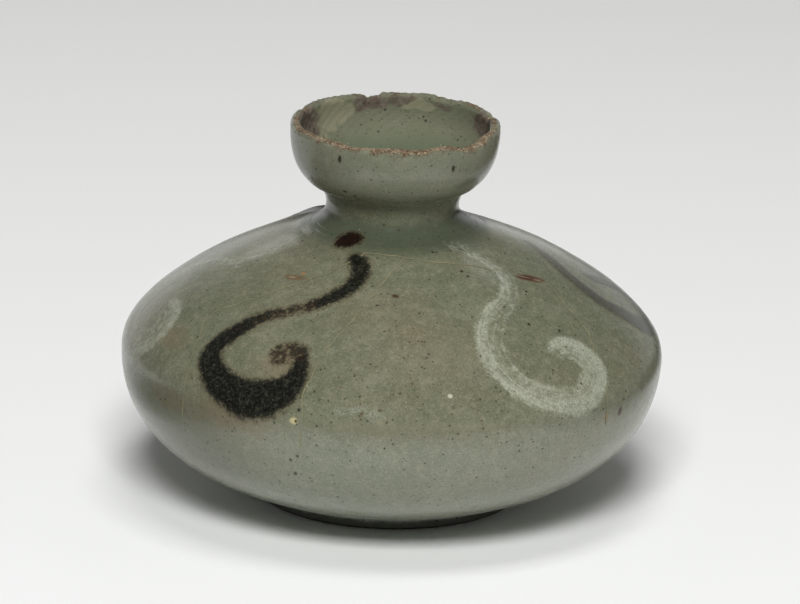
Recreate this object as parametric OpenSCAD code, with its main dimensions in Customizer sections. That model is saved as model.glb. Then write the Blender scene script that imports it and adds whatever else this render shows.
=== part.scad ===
// Squat celadon oil bottle. A thrown bowl and a thrown shoulder are luted together just
// below the belly, and a neck collar and a cup mouth are luted on top. A stretch of the
// shoulder was broken out and glued back as two sherds. Scrolls of black and white slip
// are brushed round the shoulder.
// Millimetres. The foot stands on z = 0, +Z is up, and the repaired side faces -Y.
// Azimuths are in degrees from -Y towards +X.

/* [Body] */
// Width across the belly
body_d = 86; // [76:1:100]
// Height of the widest line
belly_h = 24.3; // [22:0.1:30]
// Height of the luted seam between bowl and shoulder, below the widest line
seam_h = 20; // [17:0.1:21]
// Fullness of the bowl's curve: 2 is an ellipse, more is squarer
bowl_fullness = 2.4; // [2:0.1:3]
// Height that the shoulder's curve would reach above the widest line, at the axis
shoulder_rise = 22.2; // [19:0.1:28]
// Fullness of the shoulder's curve: 1 is a cone, 2 is an ellipse
shoulder_fullness = 1.5; // [1.3:0.05:2]
// Wall of the bowl and shoulder at the belly
wall = 3.4; // [2.8:0.1:4.5]
// Floor, from the table to the inside
floor_t = 4.4; // [3.6:0.1:6]
// Film of slip in each luted joint
slip_t = 0.5; // [0.3:0.1:1]

/* [Foot] */
// Width across the foot ring
foot_d = 42.8; // [36:0.2:50]
// Width of the ring that stands on the table
foot_ring_w = 4; // [3:0.1:6]
// Depth of the hollow inside the ring
foot_hollow = 1.4; // [0.8:0.1:2]

/* [Neck] */
// Bore from the cup down to the inside
bore_d = 13; // [9:0.1:15]
// Width of the neck at its narrowest
neck_d = 20.9; // [18.6:0.1:23]
// Width of the flat seat where the neck stands on the shoulder
neck_seat_d = 24; // [23.4:0.1:28]
// Height from that seat to the underside of the cup
neck_h = 6.4; // [4:0.1:10]

/* [Cup] */
// Width across the rim
cup_d = 33.3; // [29:0.1:40]
// Height from the underside of the cup to the rim
cup_h = 10.1; // [8:0.1:14]
// Fullness of the cup's curve
cup_fullness = 2.2; // [1.8:0.1:2.8]
// Wall of the cup at the rim
cup_wall = 2.2; // [1.6:0.1:3]
// Clay between the underside of the cup and its inner floor
cup_floor_t = 2.2; // [1.5:0.1:3.5]

/* [Repair] */
// Thickness of the glue between sherds
glue_t = 0.3; // [0.2:0.05:0.6]

/* [Scrolls] */
// Height of the brushed slip above the wall
slip_relief = 0.35; // [0.2:0.05:0.8]
// Azimuth of the front black scroll; two more follow round the shoulder
black_azimuth = -30; // [-36:1:-24]
// Azimuth of the front white scroll; two more follow round the shoulder
white_azimuth = 33; // [28:1:38]

/* [Hidden] */

// Roundness of the revolved pieces, and steps along each curve
$fn = 96;
curve_steps = 20;
stroke_steps = 4;

// Radii and heights that follow from the sizes above
body_r = body_d / 2;
foot_r = foot_d / 2;
bore_r = bore_d / 2;
neck_r = neck_d / 2;
seat_r = neck_seat_d / 2;
cup_r = cup_d / 2;
bowl_top = seam_h - slip_t / 2;
dome_bottom = seam_h + slip_t / 2;
seat_z = belly_h + shoulder_rise * fall(seat_r / body_r, shoulder_fullness);
neck_bottom = seat_z + slip_t;
cup_z = seat_z + neck_h;
neck_top = cup_z - slip_t;
rim_z = cup_z + cup_h;
lip_r = cup_wall / 2;
lip_z = rim_z - lip_r;
cup_floor_z = cup_z + cup_floor_t;

// The shoulder panel is a flat sheet, tilted back by this angle, that touches the belly.
// Breaks and scrolls are drawn on it in percent: across, of the belly's radius; and up,
// of the way from the widest line to the neck's seat.
panel_tilt = 45;
panel_height = (body_r - seat_r) * sin(panel_tilt) + (seat_z - belly_h) * cos(panel_tilt);
panel_reach_in = body_r / 2;
panel_reach_out = body_r / 4;

// Break lines from a shared top corner down past the seam
left_break = [
    [4, 91], [-10, 94], [-23, 82], [-50, 71], [-67, 67], [-73, 40], [-75, 20], [-75, -60]
];
right_break = [[4, 91], [17, 90], [41, 91], [57, 89], [72, 64], [79, 33], [80, -60]];
middle_break = [[4, 91], [-14, 52], [-24, 36], [-31, 15], [-33, -60]];

// Brush strokes: across, up, and width in millimetres
black_stroke = [
    [9, 87, 1.4], [12, 81, 2.6], [12, 70, 2.4], [2, 56, 1.8], [-14, 44, 2.6], [-26, 28, 3.8],
    [-22, 12, 4.4], [-7, 3, 4.8], [9, 6, 4.4], [14, 18, 2.8], [11, 28, 1.8], [6, 30, 1.2]
];
black_dab = [[-7, 94, 1.2], [-3, 97, 3.4], [2, 99, 2.6]];
side_black_stroke = [
    [26, 90, 1.4], [14, 76, 2.2], [1, 65, 2.6], [-8, 55, 3], [-13, 42, 3.4], [-12, 27, 3.8],
    [-5, 17, 3.8], [6, 16, 3.4], [15, 25, 2.8], [16, 38, 2.2], [10, 46, 1.4]
];
white_stroke = [
    [3, 96, 1.4], [12, 89, 2.2], [19, 78, 2.2], [16, 67, 2.8], [7, 56, 4], [-6, 45, 4.6],
    [-11, 31, 4], [-10, 19, 3.4], [-4, 10, 3.2], [7, 4, 3], [21, 3, 2.8], [31, 11, 3.2],
    [35, 22, 3.2], [31, 30, 2.8], [23, 34, 2.4], [15, 33, 1.4]
];

// Scrolls of one colour stand a third of a turn apart
third_turn = 120;

// Chips in the rim: azimuth, radius of the hollow, and depth
rim_chips = [[-165, 2.2, 0.8], [107, 1.6, 0.6], [50, 4, 0.8]];

// Colours of the clay, slips and glue
celadon = "#848a76";
luting_colour = "#8d8878";
black_slip = "#2b2822";
white_slip = "#b4b5a2";
glue_colour = "#b59a6a";

// Swelling curve: at angle 0 it is at its full height, at 90 at its full width.
// A fullness of 2 makes it an ellipse.
function swell(r0, z0, width, height, fullness, from, to) = [
    for (i = [0 : curve_steps])
        let (t = from + (to - from) * i / curve_steps)
        [r0 + width * pow(sin(t), 2 / fullness), z0 + height * pow(cos(t), 2 / fullness)]
];
// Share of the height that is left at a share of the width
function fall(share, fullness) = pow(1 - pow(share, fullness), 1 / fullness);
// Angle at which the curve has a share of its width, or of its height
function angle_at_width(share, fullness) = asin(pow(share, fullness / 2));
function angle_at_height(share, fullness) = acos(pow(share, fullness / 2));

function reversed(list) = [for (i = [len(list) - 1 : -1 : 0]) list[i]];

// Bowl curve of a given width and depth below the widest line, between two angles
function bowl_curve(width, depth, from, to) =
    swell(0, belly_h, width, -depth, bowl_fullness, from, to);
function shoulder_curve(width, rise, from, to) =
    swell(0, belly_h, width, rise, shoulder_fullness, from, to);
// Angle of a bowl curve of that depth at height z
function bowl_angle(depth, z) = angle_at_height((belly_h - z) / depth, bowl_fullness);
// Radius of a bowl curve at height z
function bowl_radius(width, depth, z) = width * fall((belly_h - z) / depth, bowl_fullness);

// Outside of the shoulder from the seam to the neck's seat, standing proud by a layer
function dome_outside(layer) = concat(
    bowl_curve(body_r + layer, belly_h + layer, bowl_angle(belly_h + layer, dome_bottom), 90),
    [for (p = shoulder_curve(body_r + layer, shoulder_rise + layer, 90,
        angle_at_width(seat_r / (body_r + layer), shoulder_fullness))) if (p[1] > belly_h) p]
);

// Inner curves leave the wall at the belly and the floor at the axis
inner_r = body_r - wall;
inner_depth = belly_h - floor_t;
inner_rise = shoulder_rise - wall;

module lower_bowl() {
    ring_inside = foot_r - foot_ring_w;
    foot_angle = angle_at_width(foot_r / body_r, bowl_fullness);
    outside = bowl_curve(body_r, belly_h, foot_angle, bowl_angle(belly_h, bowl_top));
    inside = bowl_curve(inner_r, inner_depth, bowl_angle(inner_depth, bowl_top), 0);
    foot = [[0, foot_hollow], [ring_inside, foot_hollow], [ring_inside, 0], [foot_r, 0]];
    color(celadon) rotate_extrude() polygon(concat(foot, outside, inside));
}

module belly_luting() {
    color(luting_colour) rotate_extrude() polygon([
        [bowl_radius(inner_r, inner_depth, bowl_top), bowl_top],
        [bowl_radius(body_r, belly_h, bowl_top), bowl_top],
        [bowl_radius(body_r, belly_h, dome_bottom), dome_bottom],
        [bowl_radius(inner_r, inner_depth, dome_bottom), dome_bottom]
    ]);
}

// The whole shoulder as thrown, before it broke
module whole_shoulder() {
    bore_angle = angle_at_width(bore_r / inner_r, shoulder_fullness);
    inside = concat(
        [[bore_r, seat_z]],
        shoulder_curve(inner_r, inner_rise, bore_angle, 90),
        [for (p = bowl_curve(inner_r, inner_depth, 90, bowl_angle(inner_depth, dome_bottom)))
            if (p[1] < belly_h) p]
    );
    rotate_extrude() polygon(concat(dome_outside(0), inside));
}

// Pushes a flat outline on the panel at an azimuth right through the wall
module through_panel(azimuth) {
    rotate([0, 0, azimuth])
        translate([0, -body_r, belly_h])
            rotate([90 - panel_tilt, 0, 0])
                translate([0, 0, -panel_reach_in])
                    linear_extrude(panel_reach_in + panel_reach_out) children();
}

function on_panel(p) = [p[0] / 100 * body_r, p[1] / 100 * panel_height];

// Line of a given width along straight stretches, with mitred corners
function side_of(line, i) =
    let (
        a = line[max(i - 1, 0)],
        b = line[i],
        c = line[min(i + 1, len(line) - 1)],
        into = i > 0 ? (b - a) / norm(b - a) : (c - b) / norm(c - b),
        out = i < len(line) - 1 ? (c - b) / norm(c - b) : into,
        along = (into + out) / norm(into + out)
    )
    [-along[1], along[0]] / (along * into);
function ribbon(line, half_widths) = concat(
    [for (i = [0 : len(line) - 1]) line[i] + side_of(line, i) * half_widths[i]],
    [for (i = [len(line) - 1 : -1 : 0]) line[i] - side_of(line, i) * half_widths[i]]
);

// Glue along a break, which also fills the corner where the breaks meet
module break_line(path) {
    line = [for (p = path) on_panel(p)];
    lead = glue_t * (line[0] - line[1]) / norm(line[0] - line[1]);
    filled = concat([line[0] + lead], [for (i = [1 : len(line) - 1]) line[i]]);
    through_panel(0) polygon(ribbon(filled, [for (p = filled) glue_t / 2]));
}

module all_breaks() {
    break_line(left_break);
    break_line(right_break);
    break_line(middle_break);
}

// Wedge of the shoulder between two break lines that share their top corner
module between_breaks(first, second) {
    outline = concat(first, [for (i = [len(second) - 1 : -1 : 1]) second[i]]);
    through_panel(0) polygon([for (p = outline) on_panel(p)]);
}

module shoulder_dome() {
    color(celadon) difference() {
        whole_shoulder();
        between_breaks(left_break, right_break);
        all_breaks();
    }
}

module sherd(first, second) {
    color(celadon) difference() {
        intersection() {
            whole_shoulder();
            between_breaks(first, second);
        }
        all_breaks();
    }
}

module left_sherd() {
    sherd(left_break, middle_break);
}

module right_sherd() {
    sherd(middle_break, right_break);
}

module repair_glue() {
    color(glue_colour) intersection() {
        whole_shoulder();
        all_breaks();
    }
}

// Flat ring of slip under a piece that stands on the bore's axis
module luting_ring(r, z) {
    color(luting_colour) translate([0, 0, z]) difference() {
        cylinder(r = r, h = slip_t);
        translate([0, 0, -slip_t]) cylinder(r = bore_r, h = 3 * slip_t);
    }
}

module neck_luting() {
    luting_ring(seat_r, seat_z);
}

module neck_collar() {
    hollow = seat_r - neck_r;
    height = neck_top - neck_bottom;
    cove = swell(seat_r, neck_top, -hollow, -height, 2, 0, 90);
    color(celadon) rotate_extrude()
        polygon(concat([[bore_r, neck_bottom]], cove, [[bore_r, neck_top]]));
}

module cup_luting() {
    luting_ring(neck_r, neck_top);
}

module cup_mouth() {
    outside = swell(neck_r, lip_z, cup_r - neck_r, cup_z - lip_z, cup_fullness, 0, 90);
    inside = swell(bore_r, lip_z, cup_r - cup_wall - bore_r, cup_floor_z - lip_z,
        cup_fullness, 90, 0);
    lip_steps = 8;
    lip = [for (i = [1 : lip_steps - 1])
        let (t = 180 * i / lip_steps)
        [cup_r - lip_r + lip_r * cos(t), lip_z + lip_r * sin(t)]];
    color(celadon) difference() {
        rotate_extrude() polygon(concat([[bore_r, cup_z]], outside, lip, inside));
        for (chip = rim_chips)
            rotate([0, 0, chip[0]])
                translate([0, lip_r - cup_r, rim_z + chip[1] - chip[2]])
                    sphere(r = chip[1]);
    }
}

// Smooth path through a stroke's stations, which carry their own width
function between(p, q, r, s, t) = q + t / 2 * ((r - p)
    + t * ((2 * p - 5 * q + 4 * r - s) + t * (3 * q - p - 3 * r + s)));
function smooth(path) = concat([
    for (i = [0 : len(path) - 2])
        for (k = [0 : stroke_steps - 1])
            between(path[max(i - 1, 0)], path[i], path[i + 1],
                path[min(i + 2, len(path) - 1)], k / stroke_steps)
], [path[len(path) - 1]]);

// Thin layer of slip that lies on the shoulder, where the brush passed
module brushed(path, azimuth) {
    stations = smooth(path);
    line = [for (p = stations) on_panel(p)];
    intersection() {
        rotate_extrude() polygon(concat(dome_outside(slip_relief), reversed(dome_outside(0))));
        through_panel(azimuth) polygon(ribbon(line, [for (p = stations) p[2] / 2]));
    }
}

// The front scrolls lie across the breaks, which part them
module black_scroll_front() {
    color(black_slip) difference() {
        union() {
            brushed(black_stroke, black_azimuth);
            brushed(black_dab, black_azimuth);
        }
        all_breaks();
    }
}

module black_scroll_right() {
    color(black_slip) brushed(side_black_stroke, black_azimuth + third_turn);
}

module black_scroll_back() {
    color(black_slip) brushed(black_stroke, black_azimuth - third_turn);
}

module white_scroll_front() {
    color(white_slip) difference() {
        brushed(white_stroke, white_azimuth);
        all_breaks();
    }
}

module white_scroll_back() {
    color(white_slip) brushed(white_stroke, white_azimuth + third_turn);
}

module white_scroll_left() {
    color(white_slip) brushed(white_stroke, white_azimuth - third_turn);
}

lower_bowl();
belly_luting();
shoulder_dome();
left_sherd();
right_sherd();
repair_glue();
neck_luting();
neck_collar();
cup_luting();
cup_mouth();
black_scroll_front();
black_scroll_right();
black_scroll_back();
white_scroll_front();
white_scroll_back();
white_scroll_left();
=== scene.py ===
# %% [markdown]
# # A small celadon oil bottle
# The real bottle was thrown on a wheel in four pieces: a bowl with a turned foot, a shoulder that
# closes over it, a short neck and a cup-shaped mouth. Scrolls of black and white slip were brushed
# on the shoulder, the whole was dipped in a grey-green glaze, and later a broken stretch of the
# shoulder was glued back. The lesson follows that order: first the form, then the break, then the
# brush strokes, then the glaze. Lengths are written in millimetres and scaled once, when a mesh
# is made.

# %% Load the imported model
import math
from types import SimpleNamespace

import bmesh
import bpy
import numpy as np
from mathutils import Matrix, Vector


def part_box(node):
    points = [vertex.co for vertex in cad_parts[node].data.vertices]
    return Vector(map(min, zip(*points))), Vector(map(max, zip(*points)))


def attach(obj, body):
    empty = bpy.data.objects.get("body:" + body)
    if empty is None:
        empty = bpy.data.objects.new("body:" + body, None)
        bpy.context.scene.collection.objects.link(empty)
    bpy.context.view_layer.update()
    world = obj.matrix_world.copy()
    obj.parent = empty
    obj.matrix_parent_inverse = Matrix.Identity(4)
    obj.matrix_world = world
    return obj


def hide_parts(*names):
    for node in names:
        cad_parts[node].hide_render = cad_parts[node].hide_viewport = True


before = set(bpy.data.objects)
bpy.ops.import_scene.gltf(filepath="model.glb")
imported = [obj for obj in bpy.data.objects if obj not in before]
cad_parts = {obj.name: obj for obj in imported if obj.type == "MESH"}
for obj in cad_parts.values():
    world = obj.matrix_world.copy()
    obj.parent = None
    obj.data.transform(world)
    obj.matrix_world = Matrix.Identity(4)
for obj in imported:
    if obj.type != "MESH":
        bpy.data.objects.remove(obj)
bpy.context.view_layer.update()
MM = 0.001

# %% [markdown]
# ## The camera
# A long lens from a good metre away shows the bottle almost without perspective, a little from
# above. The camera's axes are written as vectors, because a turn about the line of sight is then
# only a mix of "right" and "up".

# %% Camera at the photograph's view
view_elevation = math.radians(17.456)
view_roll = math.radians(1.593)
view_distance = 1129.7
view_aim = Vector((1.255, 0.0, 31.018))
lens_length = 319.0
sensor_width = 36.0


def make_camera():
    forward = Vector((0.0, math.cos(view_elevation), -math.sin(view_elevation)))
    level_up = Vector((0.0, math.sin(view_elevation), math.cos(view_elevation)))
    level_right = Vector((1.0, 0.0, 0.0))
    right = math.cos(view_roll) * level_right + math.sin(view_roll) * level_up
    up = math.cos(view_roll) * level_up - math.sin(view_roll) * level_right
    data = bpy.data.cameras.new("photo_view")
    data.sensor_fit = "HORIZONTAL"
    data.sensor_width = sensor_width
    data.lens = lens_length
    data.clip_start = 0.05
    data.clip_end = 20.0
    camera = bpy.data.objects.new("photo_view", data)
    bpy.context.scene.collection.objects.link(camera)
    axes = Matrix((right, up, -forward)).transposed().to_4x4()
    camera.matrix_world = Matrix.Translation((view_aim - view_distance * forward) * MM) @ axes
    bpy.context.scene.camera = camera
    return camera


camera = make_camera()
print("camera stands at (mm):", [round(v / MM) for v in camera.matrix_world.translation])

# %% [markdown]
# ## The thrown outline
# The outline is a few swelling curves. A curve with a fullness of 2 is an ellipse; the bowl is
# fuller than that and the shoulder leaner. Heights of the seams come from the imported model, so
# that every piece here sits where its solid does.

# %% Sizes of the form
def levels(node):
    low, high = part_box(node)
    return low.z / MM, high.z / MM


body_radius = 43.0
belly_height = 24.3
bowl_fullness = 2.4
shoulder_rise = 21.9
shoulder_fullness = 1.5
wall = 3.4
floor_thickness = 4.4
foot_radius = 21.4
foot_ring_width = 4.0
foot_hollow = 1.4
bore_radius = 6.5
neck_radius = 10.45
cup_radius = 16.65
cup_fullness = 2.2
cup_floor_thickness = 2.2
bowl_top, shoulder_bottom = levels("belly_luting")
seat_height, neck_bottom = levels("neck_luting")
neck_top, cup_bottom = levels("cup_luting")
cup_floor = cup_bottom + cup_floor_thickness
rim_height = levels("cup_mouth")[1]
lip_radius = 0.85
lip_height = rim_height - lip_radius
print("seams at", round(bowl_top, 2), round(seat_height, 2), round(cup_bottom, 2), "mm")


# %% The outline as a radius at each height
waist_radius = 10.55
waist_height = 47.4
flare_below = 0.26
flare_above = 0.11
waist_reach = 16.0
neck_fillet = 2.5
cup_fillet = 2.2
cup_fall = 4.0
foot_fillet = 1.4
belly_ease = 1.5
belly_ease_reach = 7.0
belly_ease_samples = 9
belly_spare = 0.2


def ease(low, high, value):
    share = np.clip((value - low) / (high - low), 0.0, 1.0)
    return share * share * (3.0 - 2.0 * share)


def swelling(share, fullness):
    left = 1.0 - np.clip(share, 0.0, 1.0) ** fullness
    return np.clip(left, 0.0, 1.0) ** (1.0 / fullness)


def smooth_larger(first, second, reach):
    part = np.clip(0.5 + 0.5 * (first - second) / reach, 0.0, 1.0)
    return second + (first - second) * part + reach * part * (1.0 - part)


def cup_outside(z):
    share = (lip_height - z) / (lip_height - cup_bottom)
    swell = (cup_radius - neck_radius) * swelling(share, cup_fullness)
    return neck_radius + swell - cup_fall * np.maximum(cup_bottom - z, 0.0)


def thrown_radius(z):
    widest = body_radius + belly_spare
    bowl = widest * swelling((belly_height - z) / belly_height, bowl_fullness)
    bowl = smooth_larger(bowl, foot_radius, foot_fillet)
    shoulder = widest * swelling((z - belly_height) / shoulder_rise, shoulder_fullness)
    flare = np.where(z < waist_height, flare_below, flare_above)
    neck = waist_radius + flare * np.minimum((z - waist_height) ** 2, waist_reach)
    body = smooth_larger(shoulder, neck, neck_fillet)
    return np.where(z < belly_height, bowl, smooth_larger(body, cup_outside(z), cup_fillet))


def outside_radius(z):
    spread = belly_ease * (1.0 - ease(0.0, belly_ease_reach, np.abs(z - belly_height)))
    offsets = np.linspace(-1.0, 1.0, belly_ease_samples)
    return sum(thrown_radius(z + spread * offset) for offset in offsets) / len(offsets)


outline_samples = 8001
outline_heights = np.linspace(0.0, lip_height, outline_samples)
outline_radii = outside_radius(outline_heights)
outline_steps = np.hypot(np.diff(outline_radii), np.diff(outline_heights))
outline_arc = np.concatenate([[0.0], np.cumsum(outline_steps)])


def arc_at(z):
    return np.interp(z, outline_heights, outline_arc)


def heights_between(low, high, step):
    count = max(2, math.ceil((arc_at(high) - arc_at(low)) / step))
    return np.interp(np.linspace(arc_at(low), arc_at(high), count + 1), outline_arc, outline_heights)


print("widest radius:", round(float(outline_radii.max()), 2), "mm; outline is",
      round(float(outline_arc[-1]), 1), "mm long")

# %% [markdown]
# ## The hand in the form
# A thrown pot is never quite round. Slow lobes come from drying, fine rings from the potter's
# fingers, and the neck was set a little off the axis. These are real shape and belong in the
# mesh. They are sums of waves that close up after a full turn, so every piece that shares an
# edge gets the same value there.

# %% Lobes, finger rings and the neck's offset
neck_offset = -0.36
cup_offset = 0.14
shoulder_offset = 0.15
lump_turn = math.radians(-140.0)
lump_height = 41.6
lump_rise = 0.6
lump_width = 0.14
lump_length = 4.0
# Heights between which the body comes to lean and straightens, and the neck and the cup lean
body_leans = (5.0, 24.0)
body_straightens = (37.0, 44.0)
neck_leans = (43.0, 47.5)
cup_leans = (50.0, 60.0)


def turn_apart(turn, start):
    return np.angle(np.exp(1j * (turn - start)))


def wobble(turn, z):
    along = arc_at(z)
    lobes = 0.08 * np.cos(2 * turn + 0.6) + 0.06 * np.cos(3 * turn - 1.1)
    dents = 0.05 * np.sin(3 * turn + 0.35 * along) * np.cos(2 * turn - 0.21 * along + 1.0)
    rings = 0.01 * np.sin(2.0 * along + turn) * (0.6 + 0.4 * np.cos(2 * turn + 1.3))
    fine_rings = 0.002 * np.sin(4.3 * along - turn + 0.8 * np.sin(3 * turn))
    calm = 1.0 - 0.6 * ease(43.0, 47.0, z)
    from_lump = turn_apart(turn, lump_turn) / lump_width
    above_lump = (along - arc_at(lump_height)) / lump_length
    lump = lump_rise * np.exp(-from_lump ** 2 - above_lump ** 2)
    return ((lobes + dents) * calm + rings + fine_rings) * ease(0.3, 3.0, z) + lump


def lean(z):
    body = shoulder_offset * ease(*body_leans, z) * (1.0 - ease(*body_straightens, z))
    return body + neck_offset * ease(*neck_leans, z) + cup_offset * ease(*cup_leans, z)


def around(turn, radius, z):
    z = z + 0.0 * turn
    return np.stack([radius * np.sin(turn) + lean(z), -radius * np.cos(turn), z], axis=-1)


def skin(turn, z, lift=0.0):
    small = 0.02
    slope = (outside_radius(z + small) - outside_radius(z - small)) / (2 * small)
    across = 1.0 / np.sqrt(1.0 + slope ** 2)
    out = lift + wobble(turn, z)
    return around(turn, outside_radius(z) + out * across, z - out * slope * across)


print("finger rings move the skin by at most", round(float(np.abs(
    wobble(np.linspace(0, 6.28, 400), 35.0)).max()), 3), "mm")

# %% [markdown]
# ## From rings to a closed mesh
# Each thrown piece is a stack of rings. Rings run up the outside, over the joint face and down
# the inside, so the piece is a closed wall of clay and not a sheet. Blender's modifiers could
# spin a curve, but rings from numbers let each point carry its own wobble.

# %% Mesh helpers
ring_points = 720
turns = np.linspace(0.0, 2.0 * math.pi, ring_points, endpoint=False)
sharp_edge = math.radians(38.0)
weld_distance = 2e-7


def finish_mesh(name, mesh):
    shell = bmesh.new()
    shell.from_mesh(mesh)
    bmesh.ops.remove_doubles(shell, verts=shell.verts, dist=weld_distance)
    bmesh.ops.recalc_face_normals(shell, faces=shell.faces)
    shell.to_mesh(mesh)
    shell.free()
    mesh.shade_smooth()
    mesh.set_sharp_from_angle(angle=sharp_edge)
    piece = bpy.data.objects.new(name, mesh)
    bpy.context.scene.collection.objects.link(piece)
    return piece


def new_mesh(name, points, faces):
    mesh = bpy.data.meshes.new(name)
    mesh.from_pydata((np.asarray(points) * MM).tolist(), [], faces)
    return mesh


def ring_faces(first, second, count):
    start = np.arange(count)
    after = (start + 1) % count
    return np.stack([first + start, first + after, second + after, second + start], axis=1).tolist()


def ringed_mesh(name, rings, hubs=None):
    count = len(rings[0])
    points = np.concatenate(rings)
    faces = []
    for row in range(len(rings) - 1):
        faces += ring_faces(row * count, (row + 1) * count, count)
    if hubs is None:
        faces += ring_faces((len(rings) - 1) * count, 0, count)
    else:
        first_hub = len(points)
        points = np.concatenate([points, np.array(hubs)])
        last = (len(rings) - 1) * count
        for j in range(count):
            after = (j + 1) % count
            faces.append([j, after, first_hub])
            faces.append([last + j, last + after, first_hub + 1])
    return finish_mesh(name, new_mesh(name, points, faces))


def outside_rings(low, high, step, lift=0.0):
    return [skin(turns, z, lift) for z in heights_between(low, high, step)]


def plain_rings(profile):
    return [around(turns, radius, z) for radius, z in profile]


def straight(start, end, count):
    return [start + (end - start) * k / count for k in range(count + 1)]


def quarter_wave(count):
    return [math.sin(k / count * math.pi / 2) for k in range(count + 1)]


def inner_bowl_radius(z):
    depth = belly_height - floor_thickness
    return (body_radius - wall) * swelling((belly_height - z) / depth, bowl_fullness)


def inner_shoulder_radius(z):
    rise = shoulder_rise - wall
    return (body_radius - wall) * swelling((z - belly_height) / rise, shoulder_fullness)


def add_mark(mesh, name, values):
    layer = mesh.attributes.new(name, "FLOAT", "POINT")
    layer.data.foreach_set("value", np.asarray(values, np.float32))


print("each ring has", ring_points, "points")

# %% [markdown]
# ## The bowl and its foot
# The bowl holds the turned foot: a low ring round a hollow base. Its outside is one smooth curve
# from the foot to the seam just under the widest line. The ring's edges are softened, because a
# potter wipes them with a wet finger.

# %% Bowl
skin_step = 0.45
foot_edge = 0.35
bowl_wall_steps = 36
inner_floor_radius = 2.0


def make_bowl():
    ring_inside = foot_radius - foot_ring_width
    foot = [
        (ring_inside * 0.5, foot_hollow + 0.15), (ring_inside - 1.2, foot_hollow),
        (ring_inside - 0.3, foot_hollow - 0.25), (ring_inside, foot_hollow - 0.7),
        (ring_inside, foot_edge), (ring_inside + foot_edge, 0.0), (foot_radius - foot_edge, 0.0),
        (foot_radius - 0.1, 0.12),
    ]
    outside = outside_rings(foot_edge, bowl_top, skin_step)
    depth = bowl_top - floor_thickness
    inside_heights = [bowl_top - depth * share for share in quarter_wave(bowl_wall_steps)[:-1]]
    inside = [(inner_bowl_radius(z), z) for z in inside_heights]
    inside.append((inner_floor_radius, floor_thickness))
    hubs = [(0.0, 0.0, foot_hollow + 0.25), (0.0, 0.0, floor_thickness)]
    return ringed_mesh("glazed_bowl", plain_rings(foot) + outside + plain_rings(inside), hubs)


bowl = make_bowl()
print("bowl:", len(bowl.data.polygons), "faces")

# %% [markdown]
# ## The seams of slip
# The potter wets each joint with slip. Under the glaze these seams hardly show, so each is a thin
# ring that takes up the outline between its two neighbours. The neck is a taller ring, made in the
# same way.

# %% Two luting seams and the neck
seam_step = 0.25
neck_step = 0.2
neck_bore_steps = 12


def bore(high, low, count):
    return [(bore_radius, z) for z in straight(high, low, count)]


def make_sleeve(name, low, high, step, inside):
    return ringed_mesh(name, outside_rings(low, high, step) + plain_rings(inside))


belly_seam = make_sleeve("belly_seam", bowl_top, shoulder_bottom, seam_step,
                         [(inner_bowl_radius(z), z) for z in (shoulder_bottom, bowl_top)])
neck_seam = make_sleeve("neck_seam", seat_height, neck_bottom, seam_step,
                        bore(neck_bottom, seat_height, 1))
neck = make_sleeve("waisted_neck", neck_bottom, neck_top, neck_step,
                   bore(neck_top, neck_bottom, neck_bore_steps))
for piece in (belly_seam, neck_seam, neck):
    print(piece.name, len(piece.data.polygons), "faces")

# %% [markdown]
# ## The cup mouth
# The cup swells out from the neck to a rounded lip. The lip has lost its glaze and some small
# chips, so its height changes round the mouth: each chip is a soft dip with a rough floor. The
# dips are shape, not paint, because the rim is seen against the light inside of the cup.

# %% Cup outline and chips
# Chips round the lip: azimuth from the front in degrees, half width and depth in millimetres
lip_chips = [(-165, 1.6, 0.6), (107, 1.3, 0.6), (48, 3.6, 0.7), (-72, 2.6, 0.25), (12, 2.2, 0.2),
             (-25, 1.6, 0.22), (150, 2.4, 0.2), (-112, 1.2, 0.3), (80, 1.4, 0.35)]
cup_step = 0.28
cup_inside_steps = 64
cup_bore_steps = 6
lip_steps = 18
lip_rise = 0.35
lip_tilt = 0.15
wear_starts = lip_height - 1.8
wear_is_full = rim_height - 0.2
inner_wall = cup_radius - 2 * lip_radius
# About how far apart the rings are on the two sides of the lip, and how far its mark reaches
outer_ring_gap = 0.22
inner_ring_gap = 0.2
lip_mark_reach = 4.0


def lip_dip(turn):
    dip = 0.06 * np.sin(5 * turn + 0.4) + 0.05 * np.sin(11 * turn + 2.0)
    dip = dip + 0.06 * np.sin(37 * turn) * np.sin(23 * turn + 1.0) + 0.03 * np.sin(83 * turn)
    for azimuth, half_width, depth in lip_chips:
        apart = turn_apart(turn, math.radians(azimuth)) * cup_radius
        ragged = 1.0 + 0.18 * np.sin(61 * turn) + 0.12 * np.sin(97 * turn + 1.0)
        dip = dip - depth * ragged * np.exp(-(apart / half_width) ** 4)
    return dip


def cup_inside():
    points = []
    for k in range(cup_inside_steps + 1):
        t = math.pi / 2 - math.pi / 2 * k / cup_inside_steps
        radius = bore_radius + (inner_wall - bore_radius) * abs(math.sin(t)) ** (2 / cup_fullness)
        z = lip_height + (cup_floor - lip_height) * abs(math.cos(t)) ** (2 / cup_fullness)
        points.append((radius, z))
    return points


def worn(rings):
    for ring in rings:
        near_rim = ease(wear_starts, wear_is_full, ring[:, 2])
        ring[:, 2] += (lip_dip(turns) + lip_rise - lip_tilt * np.cos(turns)) * near_rim
    return rings


def lip_ring(radius, z):
    rough = 0.03 * np.sin(29 * turns + 9.0 * z) * np.sin(17 * turns - 4.0 * z)
    return around(turns, radius + rough + wobble(turns, lip_height), z)


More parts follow.
